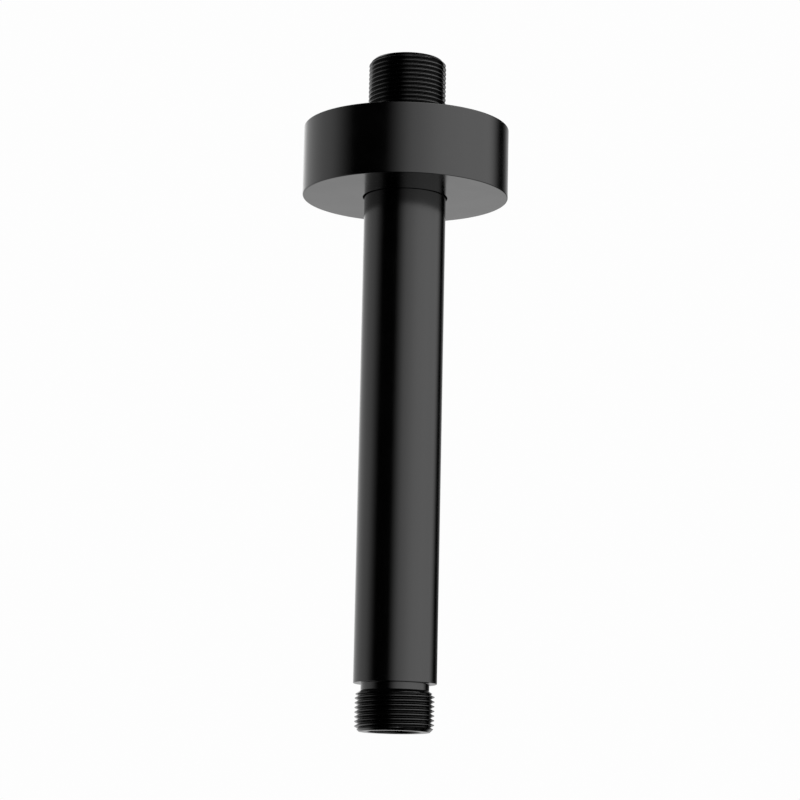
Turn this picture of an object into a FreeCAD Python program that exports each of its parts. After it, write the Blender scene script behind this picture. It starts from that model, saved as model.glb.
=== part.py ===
"""Ceiling shower arm: a turned tube with a thread at each end, its sliding flange and the ring that grips it.

Millimetres. The ceiling is the plane Z = 0, and the arm hangs below it on the Z axis.
"""

import FreeCAD, Part
import os
import re

import Sketcher

# Driving dimensions of the arm and its cover. Each one can be changed by itself.
DIMENSIONS = {
    # Plain tube
    "tube_diameter": 22.0,
    "tube_length": 147.0,
    "shoulder_depth": 3.0,
    "shoulder_chamfer": 0.2,
    # Waterway through the whole arm
    "bore_diameter": 14.0,
    "mouth_chamfer": 0.3,
    # Pipe threads, turned to the radius over their crests, one shoulder step inside the tube's
    "shoulder_step": 0.5225,
    "ceiling_thread_length": 20.15,
    "head_thread_length": 10.75,
    "thread_lead_in": 1.15,
    "thread_run_out": 1.1,
    # Relief necks between the shoulders and the threads, cut in below the crests
    "neck_depth": 1.4775,
    "neck_length": 1.85,
    # Sliding flange
    "flange_diameter": 55.4,
    "flange_height": 19.1,
    "flange_wall": 2.0,
    "flange_floor": 3.0,
    "rim_chamfer": 0.3,
    "corner_chamfer": 1.0,
    "hole_clearance": 0.4,
    # Rubber ring and the groove that holds it inside the flange's hub
    "ring_section": 2.5,
    "ring_clearance": 0.05,
    "groove_side_clearance": 0.35,
    "groove_lower_lip": 2.0,
    "groove_upper_lip": 1.2,
    "hub_wall": 2.2,
}

SHEET = "Sizes"

# Radii and heights that several features share, in terms of the driving dimensions
TUBE_RADIUS = "tube_diameter / 2"
BORE_RADIUS = "bore_diameter / 2"
THREAD_RADIUS = "tube_diameter / 2 - shoulder_step"
THREAD_TIP_RADIUS = f"{THREAD_RADIUS} - thread_lead_in"
NECK_RADIUS = f"{THREAD_RADIUS} - neck_depth"
UPPER_SHOULDER = "-shoulder_depth"
LOWER_SHOULDER = "-(shoulder_depth + tube_length)"
CEILING_END = "neck_length + ceiling_thread_length - shoulder_depth"
HEAD_END = "-(shoulder_depth + tube_length + neck_length + head_thread_length)"

# The flange stands on its underside at its own Z = 0
FLANGE_RADIUS = "flange_diameter / 2"
FLANGE_INNER_RADIUS = "flange_diameter / 2 - flange_wall"
HOLE_RADIUS = "tube_diameter / 2 + hole_clearance"
GROOVE_RADIUS = "tube_diameter / 2 + 2 * ring_clearance + ring_section"
HUB_RADIUS = f"{GROOVE_RADIUS} + hub_wall"
GROOVE_TOP = "groove_lower_lip + ring_section + 2 * groove_side_clearance"
GROOVE_MIDDLE = "groove_lower_lip + ring_section / 2 + groove_side_clearance"
HUB_TOP = f"{GROOVE_TOP} + groove_upper_lip"

FULL_TURN = 360
EDGE_TOLERANCE = 1e-5
WORD = re.compile(r"[a-z_]+")
ORIGIN_POINT = (-1, 1)
START_POINT = 1


def write_sheet(doc):
    """Put the driving dimensions in a sheet, one named cell each."""
    sheet = doc.addObject("Spreadsheet::Sheet", SHEET)
    for row, (name, value) in enumerate(DIMENSIONS.items(), start=1):
        sheet.set(f"A{row}", name)
        sheet.set(f"B{row}", str(value))
        sheet.setAlias(f"B{row}", name)
    doc.recompute()
    return sheet


def from_sheet(formula):
    """Point each dimension's name in a formula at its cell in the sheet."""
    return WORD.sub(lambda word: f"{SHEET}.{word.group()}", formula)


def value_of(doc, formula):
    """Work out a formula of the dimensions as a number of millimetres."""
    return float(doc.getObject(SHEET).evalExpression(from_sheet(formula)))


def origin_plane(body, role):
    """Find one of the body's own origin planes by its role."""
    return next(item for item in body.Origin.OriginFeatures if item.Role == role)


def new_body(doc, label):
    """Start a sub-part, whose label also names its file."""
    body = doc.addObject("PartDesign::Body", label)
    body.Label = label
    return body


def outline(body, name, corners):
    """Draw a closed outline in the XZ plane from its corners, each a radius and a height as formulas.

    A side between two corners of one radius is held vertical, one between two of one height is held level,
    and every other coordinate is a dimension from the origin.
    """
    doc = body.Document
    sketch = body.newObject("Sketcher::SketchObject", name)
    sketch.AttachmentSupport = [(origin_plane(body, "XZ_Plane"), "")]
    sketch.MapMode = "FlatFace"
    points = [FreeCAD.Vector(value_of(doc, r), value_of(doc, z), 0) for r, z in corners]
    count = len(points)
    for side in range(count):
        sketch.addGeometry(Part.LineSegment(points[side], points[(side + 1) % count]))
    for side in range(count):
        sketch.addConstraint(Sketcher.Constraint("Coincident", side, 2, (side + 1) % count, START_POINT))
    for corner, (radius, height) in enumerate(corners):
        same_radius = corner > 0 and corners[corner - 1][0] == radius
        same_height = corner > 0 and corners[corner - 1][1] == height
        if same_radius:
            sketch.addConstraint(Sketcher.Constraint("Vertical", corner - 1))
        else:
            add_dimension(sketch, "DistanceX", corner, points[corner].x, radius)
        if same_height:
            sketch.addConstraint(Sketcher.Constraint("Horizontal", corner - 1))
        else:
            add_dimension(sketch, "DistanceY", corner, points[corner].y, height)
    doc.recompute()
    return sketch


def add_dimension(sketch, kind, corner, length, formula):
    """Dimension a corner from the origin and bind the dimension to its formula."""
    index = sketch.addConstraint(Sketcher.Constraint(kind, *ORIGIN_POINT, corner, START_POINT, length))
    name = f"{kind}_{corner}"
    sketch.renameConstraint(index, name)
    sketch.setExpression(f"Constraints.{name}", from_sheet(formula))


def turn(body, kind, name, corners):
    """Turn an outline about the vertical axis, adding with a Revolution and cutting with a Groove."""
    sketch = outline(body, f"{name}_outline", corners)
    feature = body.newObject(f"PartDesign::{kind}", name)
    feature.Profile = sketch
    feature.ReferenceAxis = (sketch, ["V_Axis"])
    feature.Angle = FULL_TURN
    sketch.Visibility = False
    body.Document.recompute()
    return feature


def round_edges(doc, shape, circles):
    """Name the shape's circular edges that lie at the given radii and heights."""
    wanted = [(value_of(doc, radius), value_of(doc, height)) for radius, height in circles]
    names = []
    for number, edge in enumerate(shape.Edges, start=1):
        curve = edge.Curve
        if not isinstance(curve, Part.Circle):
            continue
        for radius, height in wanted:
            if abs(curve.Radius - radius) < EDGE_TOLERANCE and abs(curve.Center.z - height) < EDGE_TOLERANCE:
                names.append(f"Edge{number}")
    return names


def chamfer(body, name, circles, size):
    """Chamfer the given circular edges of the body's last feature."""
    doc = body.Document
    base = body.Tip
    feature = body.newObject("PartDesign::Chamfer", name)
    feature.Base = (base, round_edges(doc, base.Shape, circles))
    feature.setExpression("Size", from_sheet(size))
    doc.recompute()
    return feature


def relief(shoulder, away):
    """Outline of the cut beside a shoulder: the neck, then the thread's sloping run-out.

    away is 1 for the neck above the upper shoulder and -1 for the one below the lower shoulder.
    """
    neck_end = f"{shoulder} + {away} * neck_length"
    full_thread = f"{shoulder} + {away} * (neck_length + thread_run_out)"
    return [
        (NECK_RADIUS, shoulder),
        (TUBE_RADIUS, shoulder),
        (TUBE_RADIUS, full_thread),
        (THREAD_RADIUS, full_thread),
        (NECK_RADIUS, neck_end),
    ]


def make_arm(doc):
    """The arm, turned from one bar: tube, relief necks, thread stubs and the waterway."""
    body = new_body(doc, "arm")
    turn(
        body,
        "Revolution",
        "turned_bar",
        [
            (BORE_RADIUS, HEAD_END),
            (THREAD_TIP_RADIUS, HEAD_END),
            (THREAD_RADIUS, f"{HEAD_END} + thread_lead_in"),
            (THREAD_RADIUS, LOWER_SHOULDER),
            (TUBE_RADIUS, LOWER_SHOULDER),
            (TUBE_RADIUS, UPPER_SHOULDER),
            (THREAD_RADIUS, UPPER_SHOULDER),
            (THREAD_RADIUS, f"{CEILING_END} - thread_lead_in"),
            (THREAD_TIP_RADIUS, CEILING_END),
            (BORE_RADIUS, CEILING_END),
        ],
    )
    turn(body, "Groove", "upper_relief", relief(UPPER_SHOULDER, 1))
    turn(body, "Groove", "lower_relief", relief(LOWER_SHOULDER, -1))
    shoulders = [(TUBE_RADIUS, UPPER_SHOULDER), (TUBE_RADIUS, LOWER_SHOULDER)]
    chamfer(body, "shoulder_chamfers", shoulders, "shoulder_chamfer")
    mouths = [(BORE_RADIUS, CEILING_END), (BORE_RADIUS, HEAD_END)]
    chamfer(body, "mouth_chamfers", mouths, "mouth_chamfer")
    return body


def make_flange(doc):
    """The ceiling cover: a hollow cup, open upwards, with a grooved hub round its hole."""
    body = new_body(doc, "flange")
    turn(
        body,
        "Revolution",
        "cup",
        [
            (HOLE_RADIUS, "0"),
            (FLANGE_RADIUS, "0"),
            (FLANGE_RADIUS, "flange_height"),
            (FLANGE_INNER_RADIUS, "flange_height"),
            (FLANGE_INNER_RADIUS, "flange_floor"),
            (HUB_RADIUS, "flange_floor"),
            (HUB_RADIUS, HUB_TOP),
            (HOLE_RADIUS, HUB_TOP),
        ],
    )
    turn(
        body,
        "Groove",
        "ring_groove",
        [
            (TUBE_RADIUS, "groove_lower_lip"),
            (GROOVE_RADIUS, "groove_lower_lip"),
            (GROOVE_RADIUS, GROOVE_TOP),
            (TUBE_RADIUS, GROOVE_TOP),
        ],
    )
    corners = [(FLANGE_INNER_RADIUS, "flange_floor"), (HUB_RADIUS, "flange_floor")]
    chamfer(body, "inner_corners", corners, "corner_chamfer")
    rims = [(FLANGE_RADIUS, "0"), (FLANGE_RADIUS, "flange_height")]
    chamfer(body, "outer_rims", rims, "rim_chamfer")
    body.setExpression("Placement.Base.z", from_sheet("-flange_height"))
    return body


def make_ring(doc):
    """The rubber ring in the flange's groove, round the tube."""
    ring = doc.addObject("Part::Torus", "o_ring")
    ring.Label = "o_ring"
    ring.setExpression("Radius1", from_sheet(f"{TUBE_RADIUS} + ring_clearance + ring_section / 2"))
    ring.setExpression("Radius2", from_sheet("ring_section / 2"))
    ring.setExpression("Placement.Base.z", from_sheet(f"{GROOVE_MIDDLE} - flange_height"))
    return ring


def check(doc, pieces):
    """Stop if any object failed or a sub-part isn't one valid solid."""
    for item in doc.Objects:
        if "Invalid" in item.State or "Error" in item.State:
            raise RuntimeError(f"{item.Name} failed: {item.State}")
    for piece in pieces:
        if piece.Shape.isNull() or not piece.Shape.isValid() or len(piece.Shape.Solids) != 1:
            raise RuntimeError(f"{piece.Label} isn't one valid solid")


def main():
    """Build the document, check it and write one file for each sub-part."""
    doc = FreeCAD.newDocument("shower_arm")
    write_sheet(doc)
    pieces = [make_arm(doc), make_flange(doc), make_ring(doc)]
    doc.recompute()
    check(doc, pieces)
    os.makedirs("parts", exist_ok=True)
    for piece in pieces:
        piece.Shape.exportStep(f"parts/{piece.Label}.step")
        box = piece.Shape.BoundBox
        print(f"{piece.Label}: {piece.Shape.Volume:.1f} mm3, Z {box.ZMin:.2f} to {box.ZMax:.2f}")


main()
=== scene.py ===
"""Dresses the ceiling shower arm: a gloss black arm, the flange that slides on it and the ring between them.

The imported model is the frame. It is in metres, with the ceiling at Z = 0 and the arm on the Z axis. The
classes hold their sizes in millimetres and build their meshes in metres, each in its own place.
"""

from __future__ import annotations

import cmath
import logging
import math
from collections.abc import Sequence
from dataclasses import dataclass
from enum import Enum

import bmesh
import bpy
from mathutils import Matrix

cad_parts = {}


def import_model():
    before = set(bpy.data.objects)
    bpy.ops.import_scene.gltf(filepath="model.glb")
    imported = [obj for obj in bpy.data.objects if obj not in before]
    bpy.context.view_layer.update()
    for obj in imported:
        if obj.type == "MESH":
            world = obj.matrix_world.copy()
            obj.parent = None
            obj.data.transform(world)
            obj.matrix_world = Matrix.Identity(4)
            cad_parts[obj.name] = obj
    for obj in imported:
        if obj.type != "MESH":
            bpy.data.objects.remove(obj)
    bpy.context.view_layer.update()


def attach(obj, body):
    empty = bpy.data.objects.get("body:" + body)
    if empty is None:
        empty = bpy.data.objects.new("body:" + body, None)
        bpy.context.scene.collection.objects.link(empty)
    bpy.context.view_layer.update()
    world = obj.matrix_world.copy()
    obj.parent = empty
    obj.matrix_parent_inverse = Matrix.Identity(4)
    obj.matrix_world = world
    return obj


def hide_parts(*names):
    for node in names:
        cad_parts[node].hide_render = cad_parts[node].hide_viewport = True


log = logging.getLogger("shower_arm")

MM = 0.001

Colour = tuple[float, float, float, float]
Socket = bpy.types.NodeSocket
Value = Socket | float


class Body(Enum):
    """The bodies of the frame that pieces ride on."""

    ARM = "arm"
    RING = "ring"
    COVER = "cover"


class Slot(Enum):
    """The material slots of the record."""

    COAT = "black_coat"
    RUBBER = "ring_rubber"


class End(Enum):
    """The two threaded ends of the arm, each with its way out from the tube along Z."""

    CEILING = 1
    HEAD = -1


# Node trees

# Finer layers over each noise, and the range that most of its values lie in
NOISE_LAYERS = 2.0
NOISE_LOW = 0.35
NOISE_HIGH = 0.65


@dataclass(frozen=True)
class NodeBoard:
    """A node tree under work.

    Attributes:
        tree: The tree that the nodes go into.
    """

    tree: bpy.types.NodeTree

    def add(self, kind: str, **settings: object) -> bpy.types.Node:
        """Add one node.

        Args:
            kind: The node's type name.
            settings: Its properties by name.

        Returns:
            The new node.
        """
        node = self.tree.nodes.new(kind)
        for name, value in settings.items():
            setattr(node, name, value)
        return node

    def feed(self, socket: Socket, value: Value | Sequence[float]) -> None:
        """Join an output to an input, or set the input to a plain value.

        Args:
            socket: The input.
            value: An output to join, or the value to set.
        """
        if isinstance(value, Socket):
            self.tree.links.new(value, socket)
        else:
            socket.default_value = value

    def math(self, operation: str, first: Value, second: Value = 0.0) -> Socket:
        """Work out one sum.

        Args:
            operation: The Math node's operation.
            first: The first operand.
            second: The second operand, where the operation has one.

        Returns:
            The result.
        """
        node = self.add("ShaderNodeMath", operation=operation)
        self.feed(node.inputs[0], first)
        self.feed(node.inputs[1], second)
        return node.outputs[0]

    def map(self, value: Value, start: float, end: float, low: float, high: float) -> Socket:
        """Turn one range of a value smoothly into another, and hold it at both ends.

        Args:
            value: The value to map.
            start: Where the value's range begins.
            end: Where it ends.
            low: The result at the start.
            high: The result at the end.

        Returns:
            The mapped value.
        """
        node = self.add("ShaderNodeMapRange", interpolation_type="SMOOTHSTEP")
        for name, number in {"From Min": start, "From Max": end, "To Min": low, "To Max": high}.items():
            node.inputs[name].default_value = number
        self.feed(node.inputs["Value"], value)
        return node.outputs["Result"]

    def noise(self, place: Socket, grain: float) -> Socket:
        """Add noise whose spots are of a given size.

        Args:
            place: The coordinates.
            grain: The size of a spot in millimetres.

        Returns:
            The noise, about one half on average.
        """
        node = self.add("ShaderNodeTexNoise")
        self.feed(node.inputs["Vector"], place)
        node.inputs["Scale"].default_value = 1.0 / (grain * MM)
        node.inputs["Detail"].default_value = NOISE_LAYERS
        return node.outputs["Fac"]

    def spread(self, noise: Socket, low: float, high: float) -> Socket:
        """Spread the usual range of a noise between two limits.

        Args:
            noise: The noise.
            low: The result where the noise is low.
            high: The result where it is high.

        Returns:
            The value, which stays within the limits.
        """
        return self.map(noise, NOISE_LOW, NOISE_HIGH, low, high)

    def blend(self, share: Value, first: Colour, second: Colour) -> Socket:
        """Mix two colours.

        Args:
            share: How much of the second colour there is, from 0 to 1.
            first: The first colour.
            second: The second colour.

        Returns:
            The mixed colour.
        """
        node = self.add("ShaderNodeMix", data_type="RGBA")
        self.feed(node.inputs["Factor"], share)
        self.feed(node.inputs["A"], first)
        self.feed(node.inputs["B"], second)
        return node.outputs["Result"]

    def bump(self, height: Socket, depth: float) -> Socket:
        """Raise the surface a little by a height.

        Args:
            height: The height, from 0 to 1.
            depth: How far the full height stands up, in millimetres.

        Returns:
            The bumped normal.
        """
        node = self.add("ShaderNodeBump")
        node.inputs["Distance"].default_value = depth * MM
        self.feed(node.inputs["Height"], height)
        return node.outputs["Normal"]


def new_surface(name: str) -> tuple[bpy.types.Material, NodeBoard, bpy.types.Node]:
    """Start a material.

    Args:
        name: The material's name.

    Returns:
        The material, its node board and its surface shader.
    """
    material = bpy.data.materials.new(name)
    material.use_nodes = True
    return material, NodeBoard(material.node_tree), material.node_tree.nodes["Principled BSDF"]


# Finishes


@dataclass(frozen=True)
class GlossBlackCoat:
    """Gloss black coat over turned metal, with the faint skin of a sprayed finish.

    Attributes:
        name: The material's name.
        deep: The coat's colour where it is thickest.
        thin: Its colour where it is thinnest.
        gloss_roughness: Roughness of its smoothest places.
        dull_roughness: Roughness of its dullest places.
        cloud_grain: Size of the dull clouds in millimetres.
        peel_grain: Size of the skin's dimples in millimetres.
        peel_depth: Depth of the dimples in millimetres.
        ior: Refractive index of the clear top.
    """

    name: str = "gloss_black_coat"
    deep: Colour = (0.0004, 0.0004, 0.0004, 1.0)
    thin: Colour = (0.0008, 0.0008, 0.0009, 1.0)
    gloss_roughness: float = 0.16
    dull_roughness: float = 0.185
    cloud_grain: float = 9.0
    peel_grain: float = 1.6
    peel_depth: float = 0.0004
    ior: float = 1.5

    def material(self) -> bpy.types.Material:
        """Build the coat's material.

        Returns:
            The material.
        """
        material, board, shader = new_surface(self.name)
        place = board.add("ShaderNodeTexCoord").outputs["Object"]
        clouds = board.noise(place, self.cloud_grain)
        board.feed(shader.inputs["Base Color"], board.blend(clouds, self.deep, self.thin))
        roughness = board.spread(clouds, self.gloss_roughness, self.dull_roughness)
        board.feed(shader.inputs["Roughness"], roughness)
        peel = board.noise(place, self.peel_grain)
        board.feed(shader.inputs["Normal"], board.bump(peel, self.peel_depth))
        shader.inputs["IOR"].default_value = self.ior
        return material


@dataclass(frozen=True)
class RingRubber:
    """Matt black moulded rubber.

    Attributes:
        name: The material's name.
        dark: The rubber's main colour.
        dusty: Its colour where fine dust clings.
        dust_grain: Size of a dusty spot in millimetres.
        roughness_low: Roughness of its smoother places.
        roughness_high: Roughness of its rougher places.
        grain: Size of the moulded grain in millimetres.
        grain_depth: Depth of the grain in millimetres.
    """

    name: str = "ring_rubber"
    dark: Colour = (0.012, 0.012, 0.012, 1.0)
    dusty: Colour = (0.03, 0.03, 0.029, 1.0)
    dust_grain: float = 1.5
    roughness_low: float = 0.5
    roughness_high: float = 0.65
    grain: float = 0.12
    grain_depth: float = 0.004

    def material(self) -> bpy.types.Material:
        """Build the rubber's material.

        Returns:
            The material.
        """
        material, board, shader = new_surface(self.name)
        place = board.add("ShaderNodeTexCoord").outputs["Object"]
        dust = board.noise(place, self.dust_grain)
        board.feed(shader.inputs["Base Color"], board.blend(dust, self.dark, self.dusty))
        roughness = board.spread(dust, self.roughness_low, self.roughness_high)
        board.feed(shader.inputs["Roughness"], roughness)
        grain = board.noise(place, self.grain)
        board.feed(shader.inputs["Normal"], board.bump(grain, self.grain_depth))
        return material


@dataclass(frozen=True)
class PaleFloorPaint:
    """Pale, even floor paint.

    Attributes:
        name: The material's name.
        clean: The paint's main colour.
        worn: Its colour where it is a little worn.
        patch: Size of a worn patch in millimetres.
        roughness: The paint's roughness.
    """

    name: str = "pale_floor_paint"
    clean: Colour = (0.86, 0.86, 0.85, 1.0)
    worn: Colour = (0.84, 0.84, 0.83, 1.0)
    patch: float = 350.0
    roughness: float = 0.7

    def material(self) -> bpy.types.Material:
        """Build the floor paint's material.

        Returns:
            The material.
        """
        material, board, shader = new_surface(self.name)
        place = board.add("ShaderNodeTexCoord").outputs["Object"]
        patches = board.noise(place, self.patch)
        board.feed(shader.inputs["Base Color"], board.blend(patches, self.clean, self.worn))
        shader.inputs["Roughness"].default_value = self.roughness
        return material


# Turned shapes

# Steps along each rounded corner
ARC_STEPS = 5
# Millimetres from a rounding to its supporting points
EDGE_SUPPORT = 0.03
# Millimetres within which points are welded
WELD = 0.002
# Angle from which an edge is shaded as sharp
SHARP_ANGLE = math.radians(40.0)
# Turns cut past each end of a thread, so that its helix fills the whole length
SPARE_TURNS = 2


@dataclass(frozen=True)
class Corner:
    """A corner of a turned outline.

    Attributes:
        radius: Distance from the axis in millimetres.
        height: Height in millimetres.
        rounding: Radius that the corner is rounded to, or 0 where it stays sharp.
    """

    radius: float
    height: float
    rounding: float = 0.0

    def point(self) -> complex:
        """Give the corner as a point, with its radius as the real part."""
        return complex(self.radius, self.height)


def rounded_outline(corners: Sequence[Corner]) -> list[complex]:
    """Round an outline's corners, with a supporting point just before and just after each rounding.

    The neighbour of the last corner is the first one. An open outline has sharp ends, which need none.

    Args:
        corners: The outline's corners in order.

    Returns:
        The outline's points, each with its radius as the real part and its height as the other.
    """
    points: list[complex] = []
    for index, corner in enumerate(corners):
        here = corner.point()
        if corner.rounding == 0.0:
            points.append(here)
            continue
        way_in = here - corners[index - 1].point()
        way_in /= abs(way_in)
        way_out = corners[(index + 1) % len(corners)].point() - here
        way_out /= abs(way_out)
        turn = cmath.phase(way_out / way_in)
        reach = corner.rounding * math.tan(abs(turn) / 2.0)
        start = here - way_in * reach
        centre = start + way_in * complex(0.0, math.copysign(corner.rounding, turn))
        points.append(start - way_in * EDGE_SUPPORT)
        for step in range(ARC_STEPS + 1):
            points.append(centre + (start - centre) * cmath.rect(1.0, turn * step / ARC_STEPS))
        points.append(here + way_out * (reach + EDGE_SUPPORT))
    return points


class Lathe:
    """Turns outlines and threads about the Z axis into one mesh."""

    def __init__(self, segments: int) -> None:
        """Start with an empty mesh.

        Args:
            segments: How many segments make a full turn.
        """
        self.segments = segments
        self.mesh = bmesh.new()

    def vertex(self, radius: float, height: float, step: int) -> bmesh.types.BMVert:
        """Add a vertex.

        Args:
            radius: Distance from the axis in millimetres.
            height: Height in millimetres.
            step: The segment that it starts.

        Returns:
            The vertex.
        """
        angle = 2.0 * math.pi * step / self.segments
        place = (radius * math.cos(angle), radius * math.sin(angle), height)
        return self.mesh.verts.new([part * MM for part in place])

    def turn(self, outline: Sequence[complex], closed: bool) -> None:
        """Turn an outline into a surface.

        Args:
            outline: The outline's points.
            closed: Whether its last point joins its first.
        """
        rings = []
        for point in outline:
            rings.append([self.vertex(point.real, point.imag, step) for step in range(self.segments)])
        if closed:
            rings.append(rings[0])
        for lower, upper in zip(rings, rings[1:]):
            for step in range(self.segments):
                after = (step + 1) % self.segments
                self.mesh.faces.new((lower[step], lower[after], upper[after], upper[step]))

    def thread(self, thread: PipeThread) -> None:
        """Cut a thread's surface along its helix.

        Args:
            thread: The thread.
        """
        low, high = thread.span()
        form = thread.form()
        per_turn = len(form)
        first_turn = math.floor(low / thread.pitch) - SPARE_TURNS
        last_turn = math.ceil(high / thread.pitch) + SPARE_TURNS
        rows: list[list[bmesh.types.BMVert]] = []
        heights: list[list[float]] = []
        for turn_number in range(first_turn, last_turn):
            for share, radius in form:
                row = []
                levels = []
                for step in range(self.segments):
                    place = turn_number + share + thread.phase + step / self.segments
                    height = min(max(place * thread.pitch, low), high)
                    row.append(self.vertex(min(radius, thread.limit(height)), height, step))
                    levels.append(height)
                rows.append(row)
                heights.append(levels)
        for row in range(len(rows) - per_turn - 1):
            for step in range(self.segments):
                # After a full turn, a row goes on as the row one pitch further
                corners = [(row, step), (row, step + 1), (row + 1, step + 1), (row + 1, step)]
                corners = [(r + per_turn * (s // self.segments), s % self.segments) for r, s in corners]
                levels = [heights[r][s] for r, s in corners]
                if max(levels) > low and min(levels) < high:
                    self.mesh.faces.new([rows[r][s] for r, s in corners])

    def finish(self, name: str, material: bpy.types.Material) -> bpy.types.Object:
        """Weld the surfaces together and make the piece.

        Args:
            name: The piece's name.
            material: Its finish.

        Returns:
            The piece.
        """
        bmesh.ops.remove_doubles(self.mesh, verts=self.mesh.verts[:], dist=WELD * MM)
        loose = [vertex for vertex in self.mesh.verts if not vertex.link_faces]
        bmesh.ops.delete(self.mesh, geom=loose, context="VERTS")
        bmesh.ops.recalc_face_normals(self.mesh, faces=self.mesh.faces[:])
        for face in self.mesh.faces:
            face.smooth = True
        data = bpy.data.meshes.new(name)
        self.mesh.to_mesh(data)
        self.mesh.free()
        data.set_sharp_from_angle(angle=SHARP_ANGLE)
        data.materials.append(material)
        piece = bpy.data.objects.new(name, data)
        bpy.context.scene.collection.objects.link(piece)
        return piece


@dataclass(frozen=True)
class PipeThread:
    """A right-hand thread with rounded crests and roots, from its run-out at the neck to its chamfered end.

    Attributes:
        end: The end of the arm that it is on.
        neck_height: Height where the run-out leaves the neck.
        tip_height: Height of the arm's end face.
        neck_radius: Radius of the neck.
        tip_radius: Radius of the chamfer at the end face.
        crest_radius: Radius over the crests.
        run_out: Length of the slope from the neck to the full diameter.
        lead_in: Length of the chamfer.
        corner_length: Length left to the turned corner at each end.
        phase: Height of the crest at the +X side, in pitches.
        crest_share: Radius of the rounded crests, in pitches.
        pitch: Distance from crest to crest.
        flank_angle: Angle of a flank to a plane across the axis, in degrees.
        root_share: Radius of the rounded roots, in pitches.
        rounding_steps: Steps along a rounded crest or root.
        flank_steps: Steps along a flank.
    """

    end: End
    neck_height: float
    tip_height: float
    neck_radius: float
    tip_radius: float
    crest_radius: float
    run_out: float
    lead_in: float
    corner_length: float
    phase: float
    crest_share: float
    pitch: float = 1.215
    flank_angle: float = 27.5
    root_share: float = 0.04
    rounding_steps: int = 4
    flank_steps: int = 4

    def limit(self, height: float) -> float:
        """Give the largest radius that the run-out and the chamfer leave.

        Args:
            height: The height.

        Returns:
            The radius there.
        """
        from_neck = (height - self.neck_height) * self.end.value
        from_tip = (self.tip_height - height) * self.end.value
        run_out_slope = (self.crest_radius - self.neck_radius) / self.run_out
        lead_in_slope = (self.crest_radius - self.tip_radius) / self.lead_in
        return min(self.neck_radius + from_neck * run_out_slope, self.tip_radius + from_tip * lead_in_slope)

    def span(self) -> tuple[float, float]:
        """Give the lowest and highest height of the threaded surface."""
        ends = (self.neck_join().height, self.tip_join().height)
        return min(ends), max(ends)

    def neck_join(self) -> Corner:
        """Give the corner where the threaded surface meets the turned neck."""
        height = self.neck_height + self.corner_length * self.end.value
        return Corner(self.limit(height), height)

    def tip_join(self) -> Corner:
        """Give the corner where the threaded surface meets the turned tip."""
        height = self.tip_height - self.corner_length * self.end.value
        return Corner(self.limit(height), height)

    def form(self) -> list[tuple[float, float]]:
        """Give one pitch of the thread's profile, from one crest to just before the next.

        Returns:
            Pairs of a share of the pitch and a radius.
        """
        half_arc = math.radians(90.0 - self.flank_angle)
        root_radius = self.crest_radius - self.depth()
        crest = []
        root = []
        for step in range(self.rounding_steps + 1):
            angle = half_arc * (2.0 * step / self.rounding_steps - 1.0)
            along = math.sin(angle)
            rise = (1.0 - math.cos(angle)) * self.pitch
            crest.append((self.crest_share * along, self.crest_radius - self.crest_share * rise))
            root.append((self.root_share * along + 0.5, root_radius + self.root_share * rise))
        next_crest = (crest[0][0] + 1.0, crest[0][1])
        return crest + self.flank(crest[-1], root[0]) + root + self.flank(root[-1], next_crest)

    def flank(self, start: tuple[float, float], end: tuple[float, float]) -> list[tuple[float, float]]:
        """Give the points between the two ends of a flank.

        Args:
            start: The share of the pitch and the radius where it starts.
            end: Those where it ends.

        Returns:
            Pairs of a share of the pitch and a radius.
        """
        points = []
        for step in range(1, self.flank_steps):
            share = step / self.flank_steps
            points.append(tuple(first + (last - first) * share for first, last in zip(start, end)))
        return points

    def depth(self) -> float:
        """Give the depth from crest to root, for flanks that touch both roundings.

        Returns:
            The depth in millimetres.
        """
        slope = math.tan(math.radians(self.flank_angle))
        half_arc = math.radians(90.0 - self.flank_angle)
        rounded = self.crest_share + self.root_share
        flank = 0.5 - rounded * math.sin(half_arc)
        return (flank / slope + rounded * (1.0 - math.cos(half_arc))) * self.pitch


# Pieces of the object


def seat(piece: bpy.types.Object, body: Body, node: str) -> None:
    """Put a piece in the place of its node.

    Args:
        piece: The piece.
        body: The body that it rides on.
        node: The node that it stands for.
    """
    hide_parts(node)
    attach(piece, body.value)
    log.info("%s: %d faces, rides on %s", piece.name, len(piece.data.polygons), body.value)


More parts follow.
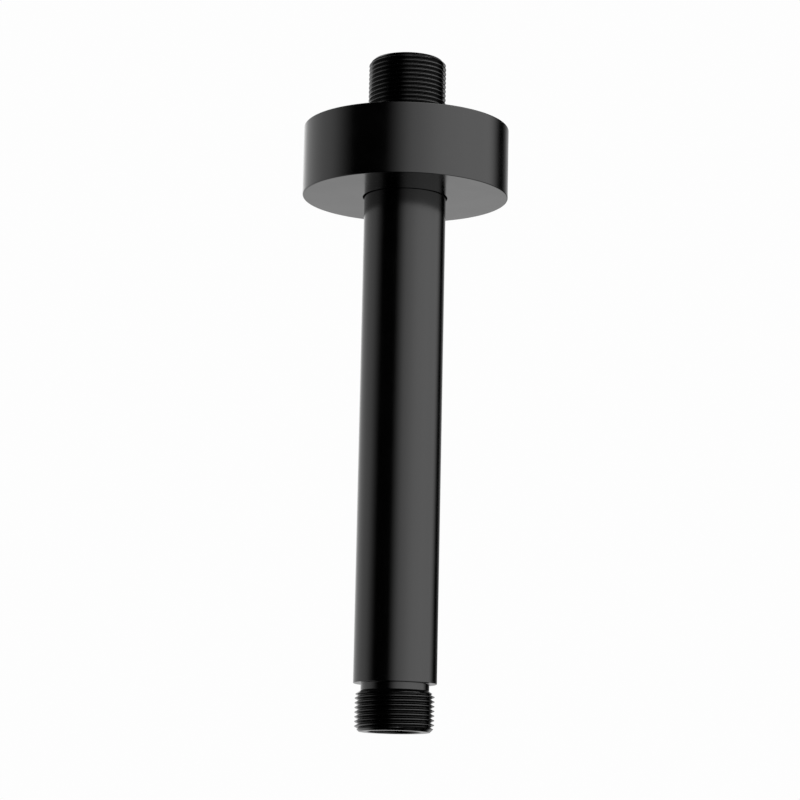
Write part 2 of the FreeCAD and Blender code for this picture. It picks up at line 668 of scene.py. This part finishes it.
@dataclass(frozen=True)
class Arm:
    """The arm: one turned bar with its tube, relief necks, two threads and the waterway.

    Attributes:
        tube_radius: Radius of the plain tube.
        upper_shoulder: Height where the tube ends above.
        lower_shoulder: Height where it ends below.
        shoulder_rounding: Rounding of the two shoulders.
        neck_radius: Radius of the relief necks.
        neck_length: Length of each neck.
        neck_rounding: Rounding in the neck's corners.
        crest_radius: Radius over the thread crests.
        tip_radius: Radius of the end faces.
        top: Height of the upper end face.
        bottom: Height of the lower end face.
        run_out: Length of the slope from a neck to its thread.
        lead_in: Length of the chamfer at a thread's end.
        corner_length: Length left to the turned corner at each end of a thread.
        edge_rounding: Rounding of the end faces' edges.
        bore_radius: Radius of the waterway.
        mouth_chamfer: Width of the chamfer at its two mouths.
        ceiling_phase: Height of the ceiling thread's crests at the +X side, in pitches.
        head_phase: That of the head thread.
        ceiling_crest_share: Radius of the ceiling thread's rounded crests, in pitches.
        head_crest_share: That of the head thread.
        segments: Segments in a full turn.
    """

    tube_radius: float = 11.0
    upper_shoulder: float = -3.0
    lower_shoulder: float = -150.0
    shoulder_rounding: float = 0.15
    neck_radius: float = 9.0
    neck_length: float = 1.85
    neck_rounding: float = 0.2
    crest_radius: float = 10.4775
    tip_radius: float = 9.3275
    top: float = 19.0
    bottom: float = -162.6
    run_out: float = 1.1
    lead_in: float = 1.15
    corner_length: float = 0.15
    edge_rounding: float = 0.12
    bore_radius: float = 7.0
    mouth_chamfer: float = 0.3
    ceiling_phase: float = 0.89
    head_phase: float = 0.79
    ceiling_crest_share: float = 0.12
    head_crest_share: float = 0.1
    segments: int = 192

    def build(self, coat: bpy.types.Material) -> None:
        """Build the arm.

        Args:
            coat: The coat's material.
        """
        upper = self.thread(End.CEILING)
        lower = self.thread(End.HEAD)
        lathe = Lathe(self.segments)
        lathe.turn(rounded_outline(self.outside(upper, lower)), closed=False)
        lathe.turn(rounded_outline(self.inside(upper, lower)), closed=False)
        lathe.thread(upper)
        lathe.thread(lower)
        seat(lathe.finish("turned_arm", coat), Body.ARM, "arm")

    def thread(self, end: End) -> PipeThread:
        """Give the thread of one end.

        Args:
            end: The end.

        Returns:
            The thread.
        """
        at_ceiling = end is End.CEILING
        shoulder = self.upper_shoulder if at_ceiling else self.lower_shoulder
        return PipeThread(
            end=end,
            neck_height=shoulder + self.neck_length * end.value,
            tip_height=self.top if at_ceiling else self.bottom,
            neck_radius=self.neck_radius,
            tip_radius=self.tip_radius,
            crest_radius=self.crest_radius,
            run_out=self.run_out,
            lead_in=self.lead_in,
            corner_length=self.corner_length,
            phase=self.ceiling_phase if at_ceiling else self.head_phase,
            crest_share=self.ceiling_crest_share if at_ceiling else self.head_crest_share,
        )

    def outside(self, upper: PipeThread, lower: PipeThread) -> list[Corner]:
        """Give the outline from the lower thread up to the upper one.

        Args:
            upper: The ceiling thread.
            lower: The head thread.

        Returns:
            The outline's corners.
        """
        return [
            lower.neck_join(),
            Corner(self.neck_radius, lower.neck_height, self.neck_rounding),
            Corner(self.neck_radius, self.lower_shoulder, self.neck_rounding),
            Corner(self.tube_radius, self.lower_shoulder, self.shoulder_rounding),
            Corner(self.tube_radius, self.upper_shoulder, self.shoulder_rounding),
            Corner(self.neck_radius, self.upper_shoulder, self.neck_rounding),
            Corner(self.neck_radius, upper.neck_height, self.neck_rounding),
            upper.neck_join(),
        ]

    def inside(self, upper: PipeThread, lower: PipeThread) -> list[Corner]:
        """Give the outline from the upper thread's tip down the waterway to the lower thread's tip.

        Args:
            upper: The ceiling thread.
            lower: The head thread.

        Returns:
            The outline's corners.
        """
        mouth_radius = self.bore_radius + self.mouth_chamfer
        return [
            upper.tip_join(),
            Corner(self.tip_radius, self.top, self.edge_rounding),
            Corner(mouth_radius, self.top, self.edge_rounding),
            Corner(self.bore_radius, self.top - self.mouth_chamfer, self.edge_rounding),
            Corner(self.bore_radius, self.bottom + self.mouth_chamfer, self.edge_rounding),
            Corner(mouth_radius, self.bottom, self.edge_rounding),
            Corner(self.tip_radius, self.bottom, self.edge_rounding),
            lower.tip_join(),
        ]


@dataclass(frozen=True)
class Flange:
    """The ceiling cover: a hollow cup, open upwards, with a grooved hub round its hole.

    Attributes:
        outer_radius: Radius outside.
        inner_radius: Radius inside the wall.
        underside: Height of the flat underside.
        rim: Height of the rim that meets the ceiling.
        floor: Height of the floor inside.
        hole_radius: Radius of the tube's hole.
        hub_radius: Radius of the hub round it.
        hub_top: Height of the hub.
        groove_radius: Radius of the ring's groove in the hole.
        groove_bottom: Height of the groove's lower side.
        groove_top: Height of its upper side.
        rim_rounding: Rounding of the outer edges and the hub's edges.
        corner_rounding: Rounding in the floor's corners.
        hole_rounding: Rounding of the edges in the hole.
        segments: Segments in a full turn.
    """

    outer_radius: float = 27.7
    inner_radius: float = 25.7
    underside: float = -19.1
    rim: float = 0.0
    floor: float = -16.1
    hole_radius: float = 11.4
    hub_radius: float = 15.8
    hub_top: float = -12.7
    groove_radius: float = 13.6
    groove_bottom: float = -17.1
    groove_top: float = -13.9
    rim_rounding: float = 0.3
    corner_rounding: float = 1.0
    hole_rounding: float = 0.12
    segments: int = 256

    def build(self, coat: bpy.types.Material) -> None:
        """Build the flange.

        Args:
            coat: The coat's material.
        """
        lathe = Lathe(self.segments)
        lathe.turn(rounded_outline(self.section()), closed=True)
        seat(lathe.finish("sliding_flange", coat), Body.COVER, "flange")

    def section(self) -> list[Corner]:
        """Give the flange's section, from the hole's lower edge outwards and back.

        Returns:
            The section's corners.
        """
        return [
            Corner(self.hole_radius, self.underside, self.hole_rounding),
            Corner(self.outer_radius, self.underside, self.rim_rounding),
            Corner(self.outer_radius, self.rim, self.rim_rounding),
            Corner(self.inner_radius, self.rim, self.rim_rounding),
            Corner(self.inner_radius, self.floor, self.corner_rounding),
            Corner(self.hub_radius, self.floor, self.corner_rounding),
            Corner(self.hub_radius, self.hub_top, self.rim_rounding),
            Corner(self.hole_radius, self.hub_top, self.rim_rounding),
            Corner(self.hole_radius, self.groove_top, self.hole_rounding),
            Corner(self.groove_radius, self.groove_top, self.hole_rounding),
            Corner(self.groove_radius, self.groove_bottom, self.hole_rounding),
            Corner(self.hole_radius, self.groove_bottom, self.hole_rounding),
        ]


@dataclass(frozen=True)
class GripRing:
    """The rubber ring, which just touches the tube and the groove and shows where its mould halves met.

    Attributes:
        middle_radius: Radius of the circle through the middle of its section.
        middle_height: Height of that circle.
        section_radius: Radius of the section over its parting lines.
        parting_height: How far the parting lines stand out.
        parting_width: Width of a parting line.
        section_steps: Steps round the section.
        segments: Segments in a full turn.
    """

    middle_radius: float = 12.3
    middle_height: float = -15.5
    section_radius: float = 1.31
    parting_height: float = 0.03
    parting_width: float = 0.1
    section_steps: int = 24
    segments: int = 128

    def build(self, rubber: bpy.types.Material) -> None:
        """Build the ring.

        Args:
            rubber: The rubber's material.
        """
        lathe = Lathe(self.segments)
        lathe.turn(self.section(), closed=True)
        seat(lathe.finish("grip_ring", rubber), Body.RING, "o_ring")

    def section(self) -> list[complex]:
        """Give the ring's section, which stands out a little along the two parting lines.

        Returns:
            The section's points.
        """
        middle = complex(self.middle_radius, self.middle_height)
        plain_radius = self.section_radius - self.parting_height
        half_width = self.parting_width / (2.0 * self.section_radius)
        points = []
        for step in range(self.section_steps):
            angle = 2.0 * math.pi * step / self.section_steps
            if step % (self.section_steps // 2) == 0:
                points.append(middle + cmath.rect(plain_radius, angle - half_width))
                points.append(middle + cmath.rect(self.section_radius, angle))
                points.append(middle + cmath.rect(plain_radius, angle + half_width))
            else:
                points.append(middle + cmath.rect(plain_radius, angle))
        return points


# Studio


@dataclass(frozen=True)
class SoftSpan:
    """A span of angles that fades in at its start and out at its end, in degrees.

    Attributes:
        start: Middle of the fade at the start.
        start_fade: Width of that fade.
        end: Middle of the fade at the end.
        end_fade: Width of that fade.
    """

    start: float
    start_fade: float
    end: float
    end_fade: float

    def middle(self) -> float:
        """Give the middle of the span in radians."""
        return math.radians((self.start + self.end) / 2.0)

    def mask(self, board: NodeBoard, angle: Socket, origin: float = 0.0) -> Socket:
        """Mask an angle by the span.

        Args:
            board: The world's node board.
            angle: The angle, in radians.
            origin: Where the angle is counted from, in radians.

        Returns:
            The mask, from 0 outside the span to 1 inside it.
        """
        start = math.radians(self.start) - origin
        end = math.radians(self.end) - origin
        start_reach = math.radians(self.start_fade) / 2.0
        end_reach = math.radians(self.end_fade) / 2.0
        rise = board.map(angle, start - start_reach, start + start_reach, 0.0, 1.0)
        fall = board.map(angle, end - end_reach, end + end_reach, 1.0, 0.0)
        return board.math("MULTIPLY", rise, fall)


@dataclass(frozen=True)
class LightPanel:
    """A soft panel of light round the object.

    Attributes:
        bearing: Its span round the object, counted from -Y towards +X.
        elevation: Its span above the level.
        brightness: Radiance in its middle.
    """

    bearing: SoftSpan
    elevation: SoftSpan
    brightness: float

    def light(self, board: NodeBoard, direction: bpy.types.Node) -> Socket:
        """Work out the panel's light in a direction.

        Args:
            board: The world's node board.
            direction: The node that splits the direction into X, Y and Z.

        Returns:
            The radiance.
        """
        middle = self.bearing.middle()
        across = self.turned(board, direction, math.cos(middle), math.sin(middle))
        ahead = self.turned(board, direction, math.sin(middle), -math.cos(middle))
        bearing = board.math("ARCTAN2", across, ahead)
        elevation = board.math("ARCSINE", direction.outputs["Z"])
        round_mask = self.bearing.mask(board, bearing, middle)
        height_mask = self.elevation.mask(board, elevation)
        mask = board.math("MULTIPLY", round_mask, height_mask)
        return board.math("MULTIPLY", mask, self.brightness)

    @staticmethod
    def turned(board: NodeBoard, direction: bpy.types.Node, x_share: float, y_share: float) -> Socket:
        """Give one level component of the direction.

        Args:
            board: The world's node board.
            direction: The node that splits the direction into X, Y and Z.
            x_share: The component's share of X.
            y_share: Its share of Y.

        Returns:
            The component.
        """
        along_x = board.math("MULTIPLY", direction.outputs["X"], x_share)
        along_y = board.math("MULTIPLY", direction.outputs["Y"], y_share)
        return board.math("ADD", along_x, along_y)


@dataclass(frozen=True)
class Studio:
    """The plain studio: a pale surround, soft panels that the gloss reflects, and a pale floor.

    Attributes:
        backdrop: Radiance of the surround, to look at.
        panels: The panels that the gloss reflects.
        floor_height: Height of the floor in millimetres.
        floor_radius: Radius of the floor in millimetres.
        floor_rings: Rings of faces in the floor, which widen outwards.
        floor_segments: Segments in a full turn of the floor.
    """

    backdrop: float = 0.985
    panels: tuple[LightPanel, ...] = (
        # The main panel at the right, whose far part starts higher, and a second light in its middle
        LightPanel(SoftSpan(-7.0, 34.0, 85.0, 30.0), SoftSpan(-66.0, 14.0, 60.0, 16.0), 1.33),
        LightPanel(SoftSpan(85.0, 30.0, 116.8, 28.0), SoftSpan(-48.0, 12.0, 60.0, 16.0), 1.33),
        LightPanel(SoftSpan(22.0, 55.0, 92.0, 60.0), SoftSpan(-66.0, 14.0, 60.0, 16.0), 0.88),
        # The panel at the left and the back, in an upper and a lower part
        LightPanel(SoftSpan(-180.0, 40.0, -77.2, 38.0), SoftSpan(-8.0, 12.0, 50.0, 20.0), 0.86),
        LightPanel(SoftSpan(-208.0, 14.0, -71.0, 34.0), SoftSpan(-50.0, 14.0, -8.0, 12.0), 0.82),
        # A bright strip in the upper part of the main panel
        LightPanel(SoftSpan(-7.0, 34.0, 116.8, 28.0), SoftSpan(40.0, 12.0, 56.0, 8.0), 2.4),
        # Two strips at the back, which light the object's right edges
        LightPanel(SoftSpan(152.0, 30.0, 205.0, 30.0), SoftSpan(6.0, 14.0, 24.0, 16.0), 0.58),
        LightPanel(SoftSpan(150.0, 20.0, 210.0, 20.0), SoftSpan(-8.0, 4.0, 1.0, 6.0), 0.14),
    )
    floor_height: float = -1200.0
    floor_radius: float = 9000.0
    floor_rings: int = 12
    floor_segments: int = 96

    def build(self) -> None:
        """Build the surround and the floor."""
        bpy.context.scene.view_settings.view_transform = "Standard"
        self.light_surround()
        self.lay_floor()
        log.info("studio: %d light panels", len(self.panels))

    def light_surround(self) -> None:
        """Light the surround: even and pale to look at, with soft panels in what the gloss reflects."""
        world = bpy.data.worlds.new("studio_surround")
        world.use_nodes = True
        bpy.context.scene.world = world
        board = NodeBoard(world.node_tree)
        direction = board.add("ShaderNodeSeparateXYZ")
        board.feed(direction.inputs["Vector"], board.add("ShaderNodeTexCoord").outputs["Generated"])
        light: Value = 0.0
        for panel in self.panels:
            light = board.math("ADD", light, panel.light(board, direction))
        seen = board.add("ShaderNodeLightPath").outputs["Is Camera Ray"]
        plain = board.math("MULTIPLY", seen, self.backdrop)
        unseen = board.math("SUBTRACT", 1.0, seen)
        strength = board.math("ADD", plain, board.math("MULTIPLY", light, unseen))
        board.feed(world.node_tree.nodes["Background"].inputs["Strength"], strength)
        world.node_tree.nodes["Background"].inputs["Color"].default_value = (1.0, 1.0, 1.0, 1.0)

    def lay_floor(self) -> None:
        """Lay the floor, a round sheet far below the arm that the gloss doesn't reflect."""
        mesh = bmesh.new()
        turn = 2.0 * math.pi / self.floor_segments
        rings = []
        for ring in range(1, self.floor_rings + 1):
            radius = self.floor_radius * (ring / self.floor_rings) ** 2
            rings.append([])
            for step in range(self.floor_segments):
                place = cmath.rect(radius, turn * step)
                corner = (place.real * MM, place.imag * MM, self.floor_height * MM)
                rings[-1].append(mesh.verts.new(corner))
        mesh.faces.new(rings[0])
        for inner, outer in zip(rings, rings[1:]):
            for step in range(self.floor_segments):
                after = (step + 1) % self.floor_segments
                mesh.faces.new((inner[step], outer[step], outer[after], inner[after]))
        data = bpy.data.meshes.new("studio_floor")
        mesh.to_mesh(data)
        mesh.free()
        data.materials.append(PaleFloorPaint().material())
        floor = bpy.data.objects.new("studio_floor", data)
        bpy.context.scene.collection.objects.link(floor)
        floor.visible_glossy = False


@dataclass(frozen=True)
class PhotoCamera:
    """The camera, at the photograph's viewing angle, a little below the arm and leaning slightly.

    Attributes:
        place: Where it stands, in millimetres.
        pitch: How far it looks up, in degrees.
        turn: How far it turns from +Y, in degrees.
        lean: How far it leans to its side, in degrees.
        lens: Focal length in millimetres.
        near_clip: Nearest distance that it sees, in millimetres.
        far_clip: Farthest distance that it sees, in millimetres.
    """

    place: tuple[float, float, float] = (0.0, -734.58, -203.83)
    pitch: float = 9.986
    turn: float = 0.018
    lean: float = 1.196
    lens: float = 125.89
    near_clip: float = 10.0
    far_clip: float = 50000.0

    def build(self) -> None:
        """Set up the camera."""
        data = bpy.data.cameras.new("photo_camera")
        data.lens = self.lens
        data.clip_start = self.near_clip * MM
        data.clip_end = self.far_clip * MM
        camera = bpy.data.objects.new("photo_camera", data)
        bpy.context.scene.collection.objects.link(camera)
        rotation = Matrix.Rotation(math.radians(self.turn), 4, "Z")
        rotation @= Matrix.Rotation(math.radians(90.0 + self.pitch), 4, "X")
        rotation @= Matrix.Rotation(math.radians(self.lean), 4, "Z")
        camera.matrix_world = Matrix.Translation([part * MM for part in self.place]) @ rotation
        bpy.context.scene.camera = camera
        log.info("camera: %.2f mm lens", self.lens)


def main() -> None:
    """Build the scene in order and report each piece."""
    logging.basicConfig(level=logging.INFO, format="%(name)s: %(message)s")
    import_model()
    PhotoCamera().build()
    Studio().build()
    coat = GlossBlackCoat().material()
    rubber = RingRubber().material()
    Arm().build(coat)
    Flange().build(coat)
    GripRing().build(rubber)


if __name__ == "__main__":
    main()
